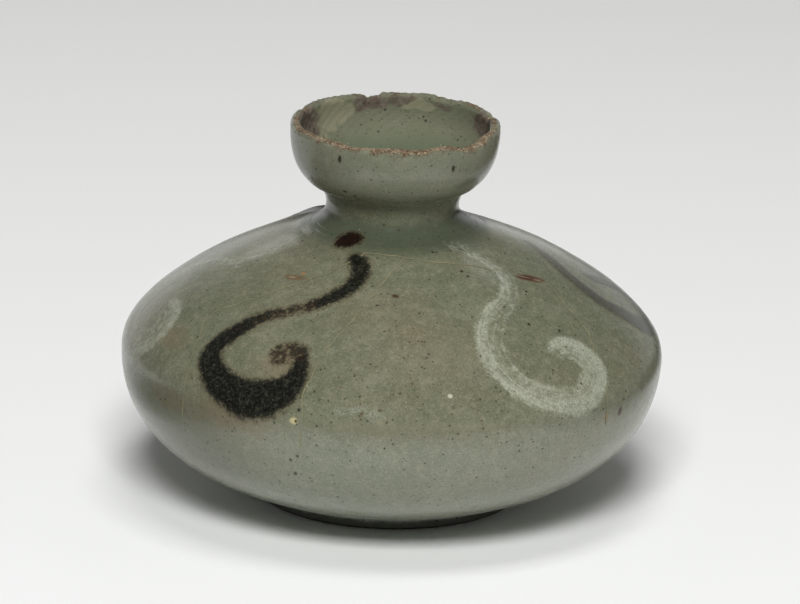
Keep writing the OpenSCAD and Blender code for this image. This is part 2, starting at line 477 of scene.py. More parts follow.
def make_cup():
    outside = outside_rings(cup_bottom, lip_height, cup_step)
    lip = []
    for k in range(1, lip_steps):
        t = math.pi * k / lip_steps
        lip.append((cup_radius - lip_radius + lip_radius * math.cos(t),
                    lip_height + lip_radius * math.sin(t)))
    rounded = [lip_ring(radius, z) for radius, z in lip + cup_inside()]
    below = plain_rings(bore(cup_floor, cup_bottom, cup_bore_steps)[1:])
    made = ringed_mesh("cup_with_chipped_lip", worn(outside + rounded) + below)
    ring_count = len(outside) + len(rounded) + len(below)
    past_top = np.arange(ring_count) - len(outside) - lip_steps / 2
    gone = past_top * np.where(past_top < 0, outer_ring_gap, inner_ring_gap)
    near_lip = np.clip(1.0 - np.abs(gone) / lip_mark_reach, 0.0, 1.0)
    add_mark(made.data, "lip_near", np.repeat(near_lip, ring_points))
    add_mark(made.data, "inside_cup", np.repeat(ease(-0.3, 0.6, gone), ring_points))
    return made


cup = make_cup()
cup_seam = make_sleeve("cup_seam", neck_top, cup_bottom, seam_step, bore(cup_bottom, neck_top, 1))
print("cup:", len(cup.data.polygons), "faces,", len(lip_chips), "chips")

# %% [markdown]
# ## The broken shoulder
# A stretch of the shoulder came out as two sherds and was glued back. The whole shoulder is made
# first, then cut with prisms that stand on the break lines, as a real break cuts right through
# the wall. The lines are drawn on a flat panel that leans back against the shoulder; their points
# are percent of the body's radius across, and of the panel's height up. A little seeded unrest
# gives the lines the crumbly look of fired clay.

# %% Panel and break lines
left_break = [(4, 91), (-10, 94), (-23, 82), (-50, 71), (-67, 67), (-73, 40), (-75, 20), (-75, -60)]
right_break = [(4, 91), (17, 90), (41, 91), (57, 89), (72, 64), (79, 33), (80, -60)]
middle_break = [(4, 91), (-14, 52), (-24, 36), (-31, 15), (-33, -60)]
panel_tilt = math.radians(45.0)
seat_radius = 12.0
panel_height = ((body_radius - seat_radius) * math.sin(panel_tilt)
                + (seat_height - belly_height) * math.cos(panel_tilt))
panel_in = -body_radius / 2
panel_out = body_radius / 4
glue_width = 0.2
glue_unrest = 0.35
crumb_step = 1.3
crumb_shift = 0.16
unrest = np.random.RandomState(7)


def to_panel(point):
    return np.array([point[0] / 100 * body_radius, point[1] / 100 * panel_height])


def panel_to_space(flat, depth, azimuth):
    x = flat[..., 0]
    y = -body_radius + flat[..., 1] * math.sin(panel_tilt) - depth * math.cos(panel_tilt)
    z = belly_height + flat[..., 1] * math.cos(panel_tilt) + depth * math.sin(panel_tilt)
    turn = math.radians(azimuth)
    return np.stack([x * math.cos(turn) - y * math.sin(turn),
                     x * math.sin(turn) + y * math.cos(turn), z + 0.0 * x], axis=-1)


def crumbly(points):
    corners = [to_panel(point) for point in points]
    line = [corners[0]]
    for start, end in zip(corners, corners[1:]):
        count = max(1, round(np.linalg.norm(end - start) / crumb_step))
        side = np.array([start[1] - end[1], end[0] - start[0]]) / np.linalg.norm(end - start)
        for k in range(1, count + 1):
            shift = 0.0 if k == count else unrest.uniform(-crumb_shift, crumb_shift)
            line.append(start + (end - start) * k / count + side * shift)
    return np.array(line)


def ribbon(line, width):
    along = np.gradient(line, axis=0)
    along = along / np.linalg.norm(along, axis=1)[:, None]
    side = np.stack([-along[:, 1], along[:, 0]], axis=1)
    half = width / 2 * (1.0 + unrest.uniform(-glue_unrest, glue_unrest, len(line)))[:, None]
    return np.concatenate([line + side * half, (line - side * half)[::-1]])


def prism(name, outline):
    count = len(outline)
    points = np.concatenate([panel_to_space(outline, panel_in, 0.0),
                             panel_to_space(outline, panel_out, 0.0)])
    faces = [list(range(count)), list(range(2 * count - 1, count - 1, -1))]
    faces += ring_faces(0, count, count)
    return finish_mesh(name, new_mesh(name, points, faces))


left_line = crumbly(left_break)
right_line = crumbly(right_break)
middle_line = crumbly(middle_break)
print("break lines have", len(left_line), len(right_line), len(middle_line), "points")


# %% Cut the shoulder into a dome, two sherds and glue
glue_lift = 0.05
seat_inside = 10.0
dome_steps = 40


def make_shoulder(name, lift):
    outside = outside_rings(shoulder_bottom, seat_height, skin_step, lift)
    dome_rise = (shoulder_rise - wall) * swelling(bore_radius / (body_radius - wall), shoulder_fullness)
    dome_bore = belly_height + dome_rise
    top = [(radius, seat_height) for radius in straight(seat_inside, bore_radius, 3)]
    heights = [dome_bore - (dome_bore - belly_height) * share for share in quarter_wave(dome_steps)]
    inside_top = [(inner_shoulder_radius(z), z) for z in heights]
    inside_low = [(inner_bowl_radius(z), z) for z in straight(belly_height, shoulder_bottom, 6)[1:]]
    return ringed_mesh(name, outside + plain_rings(top + inside_top + inside_low))


def cut(name, body, cutter, operation):
    change = body.modifiers.new(operation, "BOOLEAN")
    change.operation = operation
    change.solver = "MANIFOLD"
    change.object = cutter
    shown = bpy.context.evaluated_depsgraph_get()
    mesh = bpy.data.meshes.new_from_object(body.evaluated_get(shown))
    body.modifiers.remove(change)
    mesh.name = name
    return finish_mesh(name, mesh)


def discard(*scraps):
    for scrap in scraps:
        mesh = scrap.data
        bpy.data.objects.remove(scrap)
        bpy.data.meshes.remove(mesh)


def zone(first, second):
    return prism("zone", np.concatenate([first, second[:0:-1]]))


def parted(name, cutter, operation):
    rough = cut("rough_piece", whole, cutter, operation)
    made = cut(name, rough, all_ribbons, "DIFFERENCE")
    discard(rough, cutter)
    return made


whole = make_shoulder("whole_shoulder", 0.0)
whole_for_glue = make_shoulder("whole_shoulder_for_glue", glue_lift)
ribbons = [prism("break_ribbon", ribbon(line, glue_width))
           for line in (left_line, right_line, middle_line)]
two_ribbons = cut("two_ribbons", ribbons[0], ribbons[1], "UNION")
all_ribbons = cut("all_ribbons", two_ribbons, ribbons[2], "UNION")
shoulder = parted("mended_shoulder", zone(left_line, right_line), "DIFFERENCE")
left_sherd = parted("left_mended_sherd", zone(left_line, middle_line), "INTERSECT")
right_sherd = parted("right_mended_sherd", zone(middle_line, right_line), "INTERSECT")
glue = cut("glue_in_breaks", whole_for_glue, all_ribbons, "INTERSECT")
discard(whole, whole_for_glue, *ribbons, two_ribbons, all_ribbons)
for piece in (shoulder, left_sherd, right_sherd, glue):
    print(piece.name, len(piece.data.polygons), "faces")

# %% [markdown]
# ## The brushed scrolls
# The slip was laid on with a loaded brush, so a stroke swells, thins and frays at its edge. Each
# stroke is a thin closed sheet that lies on the shoulder, a little wider than the slip itself.
# Its points carry what the brush left there: how far inside the stroke they are, how far along,
# and how full the brush was. The finish reads these to fray the edge grain by grain.

# %% Stations of the strokes: across and up in percent, width in millimetres
black_stroke = [
    (3, 90, 1.8), (8, 87, 2.9), (12, 80, 3.1), (12, 70, 2.9), (6, 59, 2.6), (-2, 52, 2.2),
    (-12, 45, 2.6), (-20, 35, 3.3), (-25, 25, 3.8), (-23, 17, 4.3), (-15, 9, 5.0), (-4, 5, 5.8),
    (5, 7, 6.0), (11, 12, 5.2), (13, 19, 3.8), (12, 27, 2.6), (9, 31, 2.8), (4, 28, 4.2), (2, 23, 3.2),
]
black_dab = [(-6, 94, 1.4), (-3, 97, 3.4), (1, 100, 3.0), (3, 102, 2.0)]
side_black_stroke = [
    (10, 76, 1.2), (4, 69, 2.2), (-10, 56, 3.2), (-16, 38, 3.8), (-13, 28, 4.2), (-8, 17, 4.2),
    (3, 12, 3.6), (12, 17, 3.4), (15, 28, 3.4), (9, 38, 3.2), (1, 47, 2.2),
]
back_black_stroke = [(4, 92, 2.4), (8, 87, 4.2), (10, 79, 4.6), (11, 70, 3.6)] + black_stroke[4:]
white_stroke = [
    (2, 97, 2.0), (9, 93, 2.6), (13, 87, 2.8), (16, 80, 2.8), (16, 71, 2.8), (10, 60, 3.2), (0, 52, 4.2),
    (-7, 42, 4.8), (-10, 31, 5.0), (-8, 20, 4.8), (-2, 11, 4.6), (8, 6, 4.4), (19, 5, 4.4), (26, 10, 5.0),
    (30, 18, 5.2), (28, 25, 5.0), (22, 30, 4.4), (13, 28, 3.0),
]
# How full the brush was, at shares of the way along
black_load = [(0, 0.95), (0.05, 0.95), (0.2, 0.8), (0.27, 0.34), (0.33, 0.5), (0.45, 0.85), (0.6, 1),
              (0.82, 1), (0.88, 0.8), (0.93, 0.42), (1, 0.36)]
side_load = [(0, 0.35), (0.2, 0.6), (0.5, 0.9), (0.9, 0.9), (1, 0.5)]
dab_load = [(0, 0.8), (1, 0.9)]
white_load = [(0, 0.3), (0.1, 0.42), (0.2, 0.5), (0.32, 0.52), (0.5, 0.62), (0.65, 0.82), (0.85, 0.95),
              (0.95, 0.75), (1, 0.35)]
faint_load = [(0, 0.1), (0.5, 0.2), (0.8, 0.42), (0.95, 0.5), (1, 0.2)]
sheet_margin = 0.9
sheet_step = 0.25
sheet_columns = 27
lead_rows = 4
path_steps = 24
halvings = 40
# Thickness of the slip, and how its sheet ends: run of its edge, sink there, depth of its underside
slip_film = 0.012
slip_body = 0.05
edge_run = 0.35
edge_sink = 0.06
underside = 0.2
print("strokes:", len(black_stroke), len(side_black_stroke), len(white_stroke), "stations")


# %% Lay a stroke on the skin
def smooth_path(stations):
    points = np.array([[*to_panel(s), s[2]] for s in stations])
    padded = np.concatenate([points[:1], points, points[-1:]])
    path = []
    for i in range(len(points) - 1):
        before, start, end, after = padded[i:i + 4]
        for t in np.linspace(0.0, 1.0, path_steps, endpoint=False):
            path.append(start + t / 2 * ((end - before) + t * (
                (2 * before - 5 * start + 4 * end - after)
                + t * (3 * start - before - 3 * end + after))))
    path = np.array(path + [points[-1]])
    gone = np.linalg.norm(np.diff(path[:, :2], axis=0), axis=1)
    arc = np.concatenate([[0.0], np.cumsum(gone)])
    even = np.linspace(0.0, arc[-1], math.ceil(arc[-1] / sheet_step) + 1)
    return even, np.stack([np.interp(even, arc, path[:, k]) for k in range(3)], axis=1)


def drop_on_skin(flat, azimuth):
    inside = np.full(flat.shape[:-1], panel_in)
    outside = np.full(flat.shape[:-1], panel_out)
    for _ in range(halvings):
        middle = (inside + outside) / 2
        point = panel_to_space(flat, middle, azimuth)
        is_out = np.hypot(point[..., 0], point[..., 1]) > outside_radius(point[..., 2])
        outside = np.where(is_out, middle, outside)
        inside = np.where(is_out, inside, middle)
    point = panel_to_space(flat, outside, azimuth)
    return np.arctan2(point[..., 0], -point[..., 1]), point[..., 2]


def stroke_sheet(stations, load, azimuth):
    arc, path = smooth_path(stations)
    lead = np.linspace(-sheet_margin, 0.0, lead_rows + 1)[:-1]
    ahead = np.gradient(path[:, :2], axis=0)
    ahead = ahead / np.linalg.norm(ahead, axis=1)[:, None]
    first = np.repeat(path[:1], lead_rows, axis=0)
    first[:, :2] += lead[:, None] * ahead[:1]
    last = np.repeat(path[-1:], lead_rows, axis=0)
    last[:, :2] -= lead[::-1, None] * ahead[-1:]
    arc = np.concatenate([lead, arc, arc[-1] - lead[::-1]])
    path = np.concatenate([first, path, last])
    ahead = np.pad(ahead, ((lead_rows, lead_rows), (0, 0)), mode="edge")
    left = np.stack([-ahead[:, 1], ahead[:, 0]], axis=1)
    half = path[:, 2:] / 2
    side = np.linspace(-1.0, 1.0, sheet_columns)[None, :] * (half + sheet_margin)
    flat = path[:, None, :2] + side[..., None] * left[:, None, :]
    past_end = np.maximum(-arc, arc - (arc[-1] - sheet_margin))[:, None]
    inset = half - np.hypot(side, np.maximum(past_end + half, 0.0))
    inset = np.where(past_end > -half, inset, half - np.abs(side))
    share = np.clip(arc / (arc[-1] - sheet_margin), 0.0, 1.0)
    fullness = np.interp(share, [s for s, _ in load], [v for _, v in load])
    turn, z = drop_on_skin(flat, azimuth)
    thickness = slip_film + slip_body * ease(-0.2, 0.5, inset) * fullness[:, None]
    edge = ease(-sheet_margin, -sheet_margin + edge_run, inset)
    lift = thickness * edge - edge_sink * (1.0 - edge)
    top = skin(turn, z, lift)
    bottom = skin(turn, z, -underside)
    marks = {
        "inset": inset,
        "along": np.repeat(arc[:, None], sheet_columns, 1),
        "side": side,
        "load": np.repeat(fullness[:, None], sheet_columns, 1),
    }
    return top, bottom, marks


print("stroke sheets reach", sheet_margin, "mm past the slip")


# %% Join strokes into scroll meshes
def sheet_faces(rows, columns, first):
    cell = np.arange(rows * columns).reshape(rows, columns) + first
    top = np.stack([cell[:-1, :-1], cell[1:, :-1], cell[1:, 1:], cell[:-1, 1:]], -1).reshape(-1, 4)
    bottom = top[:, ::-1] + rows * columns
    border = np.concatenate([cell[:-1, 0], cell[-1, :-1], cell[:0:-1, -1], cell[0, :0:-1]])
    below = border + rows * columns
    walls = np.stack([border, np.roll(border, -1), np.roll(below, -1), below], -1)
    return top.tolist() + bottom.tolist() + walls.tolist()


def make_scroll(name, azimuth, depth, *strokes):
    points = []
    faces = []
    marks = {"inset": [], "along": [], "side": [], "load": [], "rusty": [], "depth": []}
    for stations, load, rusty in strokes:
        top, bottom, found = stroke_sheet(stations, load, azimuth)
        faces += sheet_faces(top.shape[0], top.shape[1], sum(len(p) for p in points))
        points += [top.reshape(-1, 3), bottom.reshape(-1, 3)]
        found["rusty"] = np.full(top.shape[:2], rusty)
        found["depth"] = np.full(top.shape[:2], depth)
        for key, value in found.items():
            marks[key] += [value.ravel(), value.ravel()]
    mesh = new_mesh(name, np.concatenate(points), faces)
    for key, value in marks.items():
        add_mark(mesh, key, np.concatenate(value))
    return finish_mesh(name, mesh)


black_azimuth = -30.0
white_azimuth = 33.0
third_turn = 120.0
faint_depth = 0.6
black_front = make_scroll("black_scroll_at_front", black_azimuth, 1.0,
                          (black_stroke, black_load, 0.0), (black_dab, dab_load, 1.0))
black_right = make_scroll("black_scroll_at_right", black_azimuth + third_turn, faint_depth,
                          (side_black_stroke, side_load, 0.0))
black_back = make_scroll("black_scroll_at_back", black_azimuth - third_turn, 1.0,
                         (back_black_stroke, black_load, 0.0))
white_front = make_scroll("white_scroll_at_front", white_azimuth, 1.0, (white_stroke, white_load, 0.0))
white_back = make_scroll("white_scroll_at_back", white_azimuth + third_turn, 1.0,
                         (white_stroke, white_load, 0.0))
white_left = make_scroll("white_scroll_at_left", white_azimuth - third_turn, 1.0,
                         (white_stroke, faint_load, 0.0))
print("front scrolls:", len(black_front.data.polygons), len(white_front.data.polygons), "faces")

# %% [markdown]
# ## Helpers for the finishes
# A finish is a small network of nodes. The helpers place a node and fill its inputs, do sums, mix
# two colours, lay a colour where a mask lets it through, and turn a value into a soft mask. A
# socket knows the network it is in, so only a node without linked inputs is told where it goes.
# Colours are written as a painter reads them off a screen, from 0 to 255, and turned into the
# renderer's linear scale.

# %% Colours, nodes and sums
def tint(red, green, blue):
    linear = []
    for level in (red, green, blue):
        share = level / 255
        linear.append(share / 12.92 if share <= 0.04045 else ((share + 0.055) / 1.055) ** 2.4)
    return (*linear, 1.0)


def grey(level):
    return (level, level, level, 1.0)


def place(kind, inputs, tree=None, **settings):
    sockets = {key: value for key, value in inputs.items() if isinstance(value, bpy.types.NodeSocket)}
    if tree is None:
        tree = next(iter(sockets.values())).id_data
    made = tree.nodes.new("ShaderNode" + kind)
    for key, value in settings.items():
        setattr(made, key, value)
    for key, value in inputs.items():
        if key in sockets:
            tree.links.new(value, made.inputs[key])
        else:
            made.inputs[key].default_value = value
    return made


def calc(operation, first, second=0.0):
    return place("Math", {0: first, 1: second}, operation=operation).outputs[0]


def times(first, second):
    return calc("MULTIPLY", first, second)


def larger(first, second):
    return calc("MAXIMUM", first, second)


def centred(value):
    return calc("SUBTRACT", value, 0.5)


def summed(value, *parts):
    for part, weight in parts:
        value = calc("ADD", value, times(part, weight))
    return value


print("glaze green in linear light:", [round(v, 3) for v in tint(118, 121, 99)[:3]])


# %% Mixes, masks and grain
def mixed(share, first, second, kind="MIX"):
    made = place("Mix", {0: share, 6: first, 7: second}, data_type="RGBA", blend_type=kind)
    return made.outputs[2]


def laid(colour, mask, strength, paint):
    return mixed(times(mask, strength), colour, paint)


def soft_step(value, low, high):
    made = place("MapRange", {0: value, 1: low, 2: high}, interpolation_type="SMOOTHSTEP")
    return made.outputs[0]


def between(value, low, high, feather):
    rise = soft_step(value, low - feather, low + feather)
    fall = soft_step(value, high + feather, high - feather)
    return times(rise, fall)


def grain(where, size, detail=2.0, roughness=0.5):
    return place("TexNoise", {"Vector": where, "Scale": 1.0 / size, "Detail": detail,
                              "Roughness": roughness}).outputs[0]


def millimetres(tree):
    spot_on = place("TexCoord", {}, tree).outputs["Object"]
    return place("VectorMath", {0: spot_on, 3: 1.0 / MM}, operation="SCALE").outputs[0]


def point_value(tree, name):
    return place("Attribute", {}, tree, attribute_name=name).outputs["Fac"]


print("the shader counts", round(1.0 / MM), "of its lengths to the metre")

# %% Specks and spots
spot_depth = 4.0
slope_step = 0.05


def specks(where, cell, share, smallest, largest):
    cells = place("TexVoronoi", {"Vector": where, "Scale": 1.0 / cell})
    apart = times(cells.outputs["Distance"], cell)
    lot = place("SeparateColor", {0: cells.outputs["Color"]})
    radius = summed(smallest, (lot.outputs[1], largest - smallest))
    inside = soft_step(calc("DIVIDE", apart, radius), 1.0, 0.3)
    return times(inside, calc("LESS_THAN", lot.outputs[0], share))


def spot(where, azimuth, z, wide, high, soft, tilt=0.0, radius=None):
    turn = math.radians(azimuth)
    if radius is None:
        rise = outside_radius(z + slope_step) - outside_radius(z - slope_step)
        slope = float(rise) / (2 * slope_step)
        centre = Vector(skin(np.array(turn), z).tolist())
    else:
        slope = 0.0
        centre = Vector(around(np.array(turn), radius, z).tolist())
    outward = Vector((math.sin(turn), -math.cos(turn), -slope)).normalized()
    sideways = Vector((math.cos(turn), math.sin(turn), 0.0))
    upward = outward.cross(sideways)
    swing = math.radians(tilt)
    long_way = math.cos(swing) * sideways + math.sin(swing) * upward
    short_way = math.cos(swing) * upward - math.sin(swing) * sideways
    axes = Matrix((long_way, short_way, outward)).transposed()
    local = place("Mapping", {"Vector": where, "Location": centre, "Rotation": axes.to_euler(),
                              "Scale": (wide, high, spot_depth)}, vector_type="TEXTURE")
    apart = place("VectorMath", {0: local.outputs[0]}, operation="LENGTH").outputs["Value"]
    return soft_step(apart, 1.0 + soft, 1.0 - soft)


print("a spot near the front lies at", [round(v, 1) for v in skin(np.array(0.0), 35.0)])

# %% [markdown]
# ## The celadon glaze
# Celadon is a grey-green glass over a grey clay. Iron in the clay bleeds through as dark specks,
# the colour drifts from grey to warm olive, the glass pools green where it runs together, and it
# is gone where the lip has worn. All pieces share one node group that reads the place on the pot,
# so the colour runs on across the seams without a step. Each step below lays its own colours over
# what the step before it left. The first is the clouded ground.

# %% Grains that the steps share, and the ground
def rippled(pot, reach):
    return place("VectorMath", {0: pot.ripple, 1: (reach, reach, reach), 2: pot.where},
                 operation="MULTIPLY_ADD").outputs[0]


def shared_grains(tree):
    pot = SimpleNamespace(where=millimetres(tree))
    pot.cloud = grain(pot.where, 5.0, 4.0, 0.6)
    pot.mottle = grain(pot.where, 1.5, 3.0, 0.65)
    pot.dust = grain(pot.where, 0.3, 2.0, 0.6)
    axis = place("SeparateXYZ", {0: pot.where})
    pot.depth = axis.outputs[1]
    pot.height = axis.outputs[2]
    pot.wavy_height = summed(pot.height, (pot.cloud, 1.6))
    pot.on_cup = soft_step(pot.wavy_height, 52.0, 54.0)
    pot.within = point_value(tree, "inside_cup")
    pot.lip_near = point_value(tree, "lip_near")
    swirl = place("TexNoise", {"Vector": pot.where, "Scale": 0.35, "Detail": 3.0})
    pot.ripple = place("VectorMath", {0: swirl.outputs["Color"], 1: (0.5, 0.5, 0.5)},
                       operation="SUBTRACT").outputs[0]
    pot.ragged = rippled(pot, 3.0)
    return pot


# Layers of the ground: grain, where it starts and is full, strength and colour
ground_layers = [
    ("cloud", 0.4, 0.75, 0.6, tint(122, 124, 104)), ("mottle", 0.5, 0.66, 0.55, tint(92, 97, 76)),
    ("mottle", 0.48, 0.34, 0.45, tint(130, 127, 105)), ("dust", 0.5, 0.7, 0.45, tint(140, 141, 122)),
    ("dust", 0.48, 0.28, 0.45, tint(80, 82, 64)),
]


def ground_colour(pot):
    drift = grain(pot.where, 24.0, 3.0, 0.55)
    colour = mixed(soft_step(drift, 0.35, 0.65), tint(100, 104, 83), tint(108, 107, 86))
    for source, start, full, strength, paint in ground_layers:
        colour = laid(colour, soft_step(getattr(pot, source), start, full), strength, paint)
    return colour


print("the ground colour has", len(ground_layers), "layers of grain")

# %% Bands of glaze colour, with painted light on the bowl and the neck
# Painted floor light: a factor that makes the bowl paler, standing in for light that the bright paper
# bounces and mirrors onto it
painted_floor_light_factor = (1.36, 1.38, 1.5, 1.0)


def banded(pot, colour):
    seam_line = summed(pot.height, (pot.cloud, 0.7))
    # Painted floor light on the bowl, from just above the seam down to the foot
    painted_floor_light_bowl = soft_step(seam_line, shoulder_bottom + 8.0, shoulder_bottom - 1.6)
    painted_floor_light_low = soft_step(pot.wavy_height, 17.0, 7.0)
    painted_floor_light_foot = soft_step(pot.wavy_height, 6.4, 3.2)
    pool = between(pot.wavy_height, 44.4, 48.0, 1.1)
    # Painted fill light: the neck under the cup is made lighter to make up for the shade that the cup
    # casts
    painted_fill_under_cup = between(pot.wavy_height, 49.4, 52.0, 0.8)
    low_in_cup = times(pot.within, soft_step(pot.wavy_height, 57.5, 54.5))
    # Painted floor light makes the bowl paler and greyer from the seam down, palest at the foot; the cup
    # is paler, the glaze pools green at the foot of the neck, and painted fill light lifts the neck under
    # the cup
    bands = [
        (painted_floor_light_bowl, 0.35, tint(126, 129, 112)), (painted_floor_light_low, 0.22, tint(146, 150, 140)),
        (painted_floor_light_foot, 0.5, tint(178, 182, 172)), (pot.on_cup, 0.45, tint(136, 138, 120)),
        (pool, 0.8, tint(72, 81, 64)), (painted_fill_under_cup, 0.35, tint(128, 130, 108)),
        (pot.within, 0.6, tint(106, 108, 88)), (low_in_cup, 0.6, tint(86, 97, 76)),
    ]
    colour = mixed(painted_floor_light_bowl, colour, painted_floor_light_factor, "MULTIPLY")
    for mask, strength, paint in bands:
        colour = laid(colour, mask, strength, paint)
    return colour


print("the glaze turns paler round the seam at", round(shoulder_bottom, 1), "mm")

# %% [markdown]
# Rust that the iron slip bled into the glaze lies in soft stains. Specks of iron come in several
# sizes from cells of the grain, and the marks that can be pointed at are placed one by one.

# %% Stains
stain_softness = 0.7
# Azimuth, height, half sizes and strength
stains = [
    (-37, 22.4, 8.0, 2.0, 0.4), (-27, 31.0, 3.6, 2.4, 0.3), (-62, 30.0, 4.0, 1.8, 0.3),
    (-53, 22.0, 3.6, 1.6, 0.4), (6, 22.8, 18.0, 1.6, 0.1), (12, 34.0, 9.0, 5.0, 0.12),
    (-4, 38.0, 8.0, 5.0, 0.1), (150, 27.0, 8.0, 3.0, 0.25), (-140, 23.0, 9.0, 2.5, 0.3),
]


def stained(pot, colour):
    for azimuth, z, wide, high, strength in stains:
        stain = spot(pot.ragged, azimuth, z, wide, high, stain_softness)
        colour = laid(colour, stain, strength, tint(124, 103, 80))
    # Painted shade darkens the left of the bowl, and a pale warm band lies above the seam
    painted_shade_left_bowl = spot(pot.ragged, -50, 16.0, 15.0, 7.0, stain_softness)
    colour = laid(colour, painted_shade_left_bowl, 0.6, tint(96, 98, 82))
    warm_band = times(spot(pot.ragged, 3, 24.2, 22.0, 1.1, 0.6), soft_step(pot.dust, 0.62, 0.36))
    return laid(colour, warm_band, 0.16, tint(152, 143, 118))


print(len(stains), "stains")

# %% Iron specks, freckles and painted glints
# Sizes of specks: cell, share of the cells that hold one, least and largest radius, strength
iron_sizes = [(0.7, 0.8, 0.08, 0.18, 0.6), (1.3, 0.85, 0.14, 0.3, 0.85), (4.0, 0.6, 0.24, 0.44, 1.0)]


def speckled(pot, colour):
    more_on_cup = times(specks(pot.where, 0.9, 0.9, 0.1, 0.24), pot.on_cup)
    iron = times(more_on_cup, 0.6)
    for cell, share, smallest, largest, strength in iron_sizes:
        found = specks(pot.where, cell, share, smallest, largest)
        iron = larger(iron, times(found, strength))
    colour = laid(colour, iron, 0.9, tint(40, 34, 26))
    elsewhere = place("VectorMath", {0: pot.where, 1: (31.0, 17.0, 5.0)}).outputs[0]
    freckled = spot(pot.ragged, 4, 27.0, 24.0, 7.0, 0.6)
    freckles = times(specks(elsewhere, 1.1, 0.5, 0.12, 0.36), freckled)
    colour = laid(colour, freckles, 0.75, tint(82, 58, 42))
    # Pale pinprick specks are painted glints on the glaze
    pale = specks(elsewhere, 1.5, 0.5, 0.06, 0.14)
    return laid(colour, pale, 0.7, tint(184, 182, 162)), iron


print(len(iron_sizes), "sizes of iron specks")

# %% Marks that can be pointed at
mark_softness = 0.4
iron_dot = tint(44, 36, 28)
# Azimuth, height, half sizes, tilt, strength and colour
seen_marks = [
    (-42, 40, 1.9, 0.6, 10, 0.75, tint(102, 80, 58)),
    (-43, 40, 0.6, 0.2, 10, 0.45, tint(160, 148, 118)),
    (-40, 40.5, 0.4, 0.3, 0, 0.8, tint(156, 112, 72)),
    (60, 39.5, 1.8, 0.85, -24, 0.95, tint(76, 46, 36)),
    (63, 39, 1.4, 0.65, -24, 0.9, tint(86, 56, 42)),
    (63, 39, 0.7, 0.2, -24, 0.8, tint(124, 122, 98)),
    (1, 39.5, 0.55, 0.5, 0, 0.9, tint(62, 44, 32)),
    (13, 28.5, 0.4, 0.35, 0, 0.75, tint(196, 194, 174)),
    (57, 21.5, 0.55, 0.8, -12, 0.9, tint(64, 42, 34)),
    (52, 21.5, 0.6, 0.6, 0, 0.5, tint(150, 112, 72)),
    (-20, 24, 0.6, 0.45, 0, 0.8, tint(196, 186, 140)),
    (-19.5, 24, 0.2, 0.2, 0, 0.9, tint(50, 42, 30)),
    (25, 43.5, 0.25, 0.25, 0, 0.9, iron_dot),
    (33, 41.5, 0.25, 0.25, 0, 0.9, iron_dot),
    (34, 41, 0.3, 0.25, 0, 0.9, iron_dot),
    (42, 35.5, 0.3, 0.3, 0, 0.9, iron_dot),
    (50, 34, 0.3, 0.25, 0, 0.9, iron_dot),
    (52, 38.5, 0.3, 0.25, 0, 0.9, iron_dot),
    (-21, 17.5, 0.3, 0.3, 0, 0.9, tint(58, 46, 34)),
    (-20, 15, 0.3, 0.3, 0, 0.9, tint(58, 46, 34)),
    (-31, 58.5, 0.3, 0.6, 0, 0.9, tint(48, 38, 30)),
    (34, 57.5, 0.3, 0.5, 0, 0.9, tint(48, 38, 30)),
    (66, 55, 0.35, 0.3, 0, 0.9, iron_dot),
    (-31, 53, 0.4, 0.3, 0, 0.9, tint(60, 48, 34)),
    # Painted shade: a darker olive patch on the right of the cup
    (53, 54.5, 3.6, 0.8, 16, 0.4, tint(82, 86, 68)),
]


def marked(pot, colour):
    crumbled = rippled(pot, 0.9)
    for azimuth, z, wide, high, tilt, strength, paint in seen_marks:
        mark = spot(crumbled, azimuth, z, wide, high, mark_softness, tilt)
        colour = laid(colour, mark, strength, paint)
    # A painted highlight of the front lamp, a faint pale smear on the widest line
    painted_lamp_highlight = larger(spot(pot.ragged, -7.5, 26.3, 2.6, 0.7, 0.6, 4.0),
                   spot(pot.ragged, -3.0, 25.7, 2.4, 0.5, 0.6, -14.0))
    painted_lamp_highlight = times(painted_lamp_highlight, soft_step(pot.dust, 0.34, 0.6))
    return laid(colour, painted_lamp_highlight, 0.3, tint(160, 164, 150))


print(len(seen_marks), "marks")

# %% [markdown]
# The glaze is gone from the worn lip, from patches inside the cup and from the standing edge of
# the foot. Bare clay is rough and brown, so this step also says where the gloss ends.

# %% Bare clay
patch_softness = 0.15
# Patches inside the cup, of bare clay and of thin glaze: azimuth, height, half sizes, strength
bare_patches = [
    (-103, 58.2, 5.6, 3.2, 0.95), (106, 59.0, 4.6, 2.4, 0.95), (-163, 60.0, 2.8, 1.7, 0.9),
    (178, 60.3, 2.6, 0.8, 0.7), (150, 60.2, 2.0, 0.6, 0.6),
]
thin_patches = [(-135, 58.9, 4.6, 2.2, 0.6), (-118, 56.2, 3.0, 1.4, 0.4), (165, 59.6, 3.0, 1.0, 0.5)]


def patched(pot, patches):
    total = 0.0
    for azimuth, z, wide, high, strength in patches:
        patch = spot(pot.ragged, azimuth, z, wide, high, patch_softness, 0.0, inner_wall)
        total = larger(total, times(patch, strength))
    uneven = soft_step(pot.mottle, 0.2, 0.44)
    return times(times(total, pot.within), uneven)


def clay_colours(pot):
    clay = mixed(soft_step(pot.mottle, 0.38, 0.62), tint(138, 126, 104), tint(104, 86, 68))
    clay = mixed(soft_step(pot.dust, 0.5, 0.68), clay, tint(56, 43, 33))
    clay = mixed(soft_step(pot.dust, 0.43, 0.27), clay, tint(172, 157, 128))
    dull = mixed(soft_step(pot.mottle, 0.35, 0.7), tint(112, 101, 91), tint(84, 72, 64))
    dull = mixed(soft_step(pot.dust, 0.52, 0.72), dull, tint(62, 52, 46))
    return clay, dull


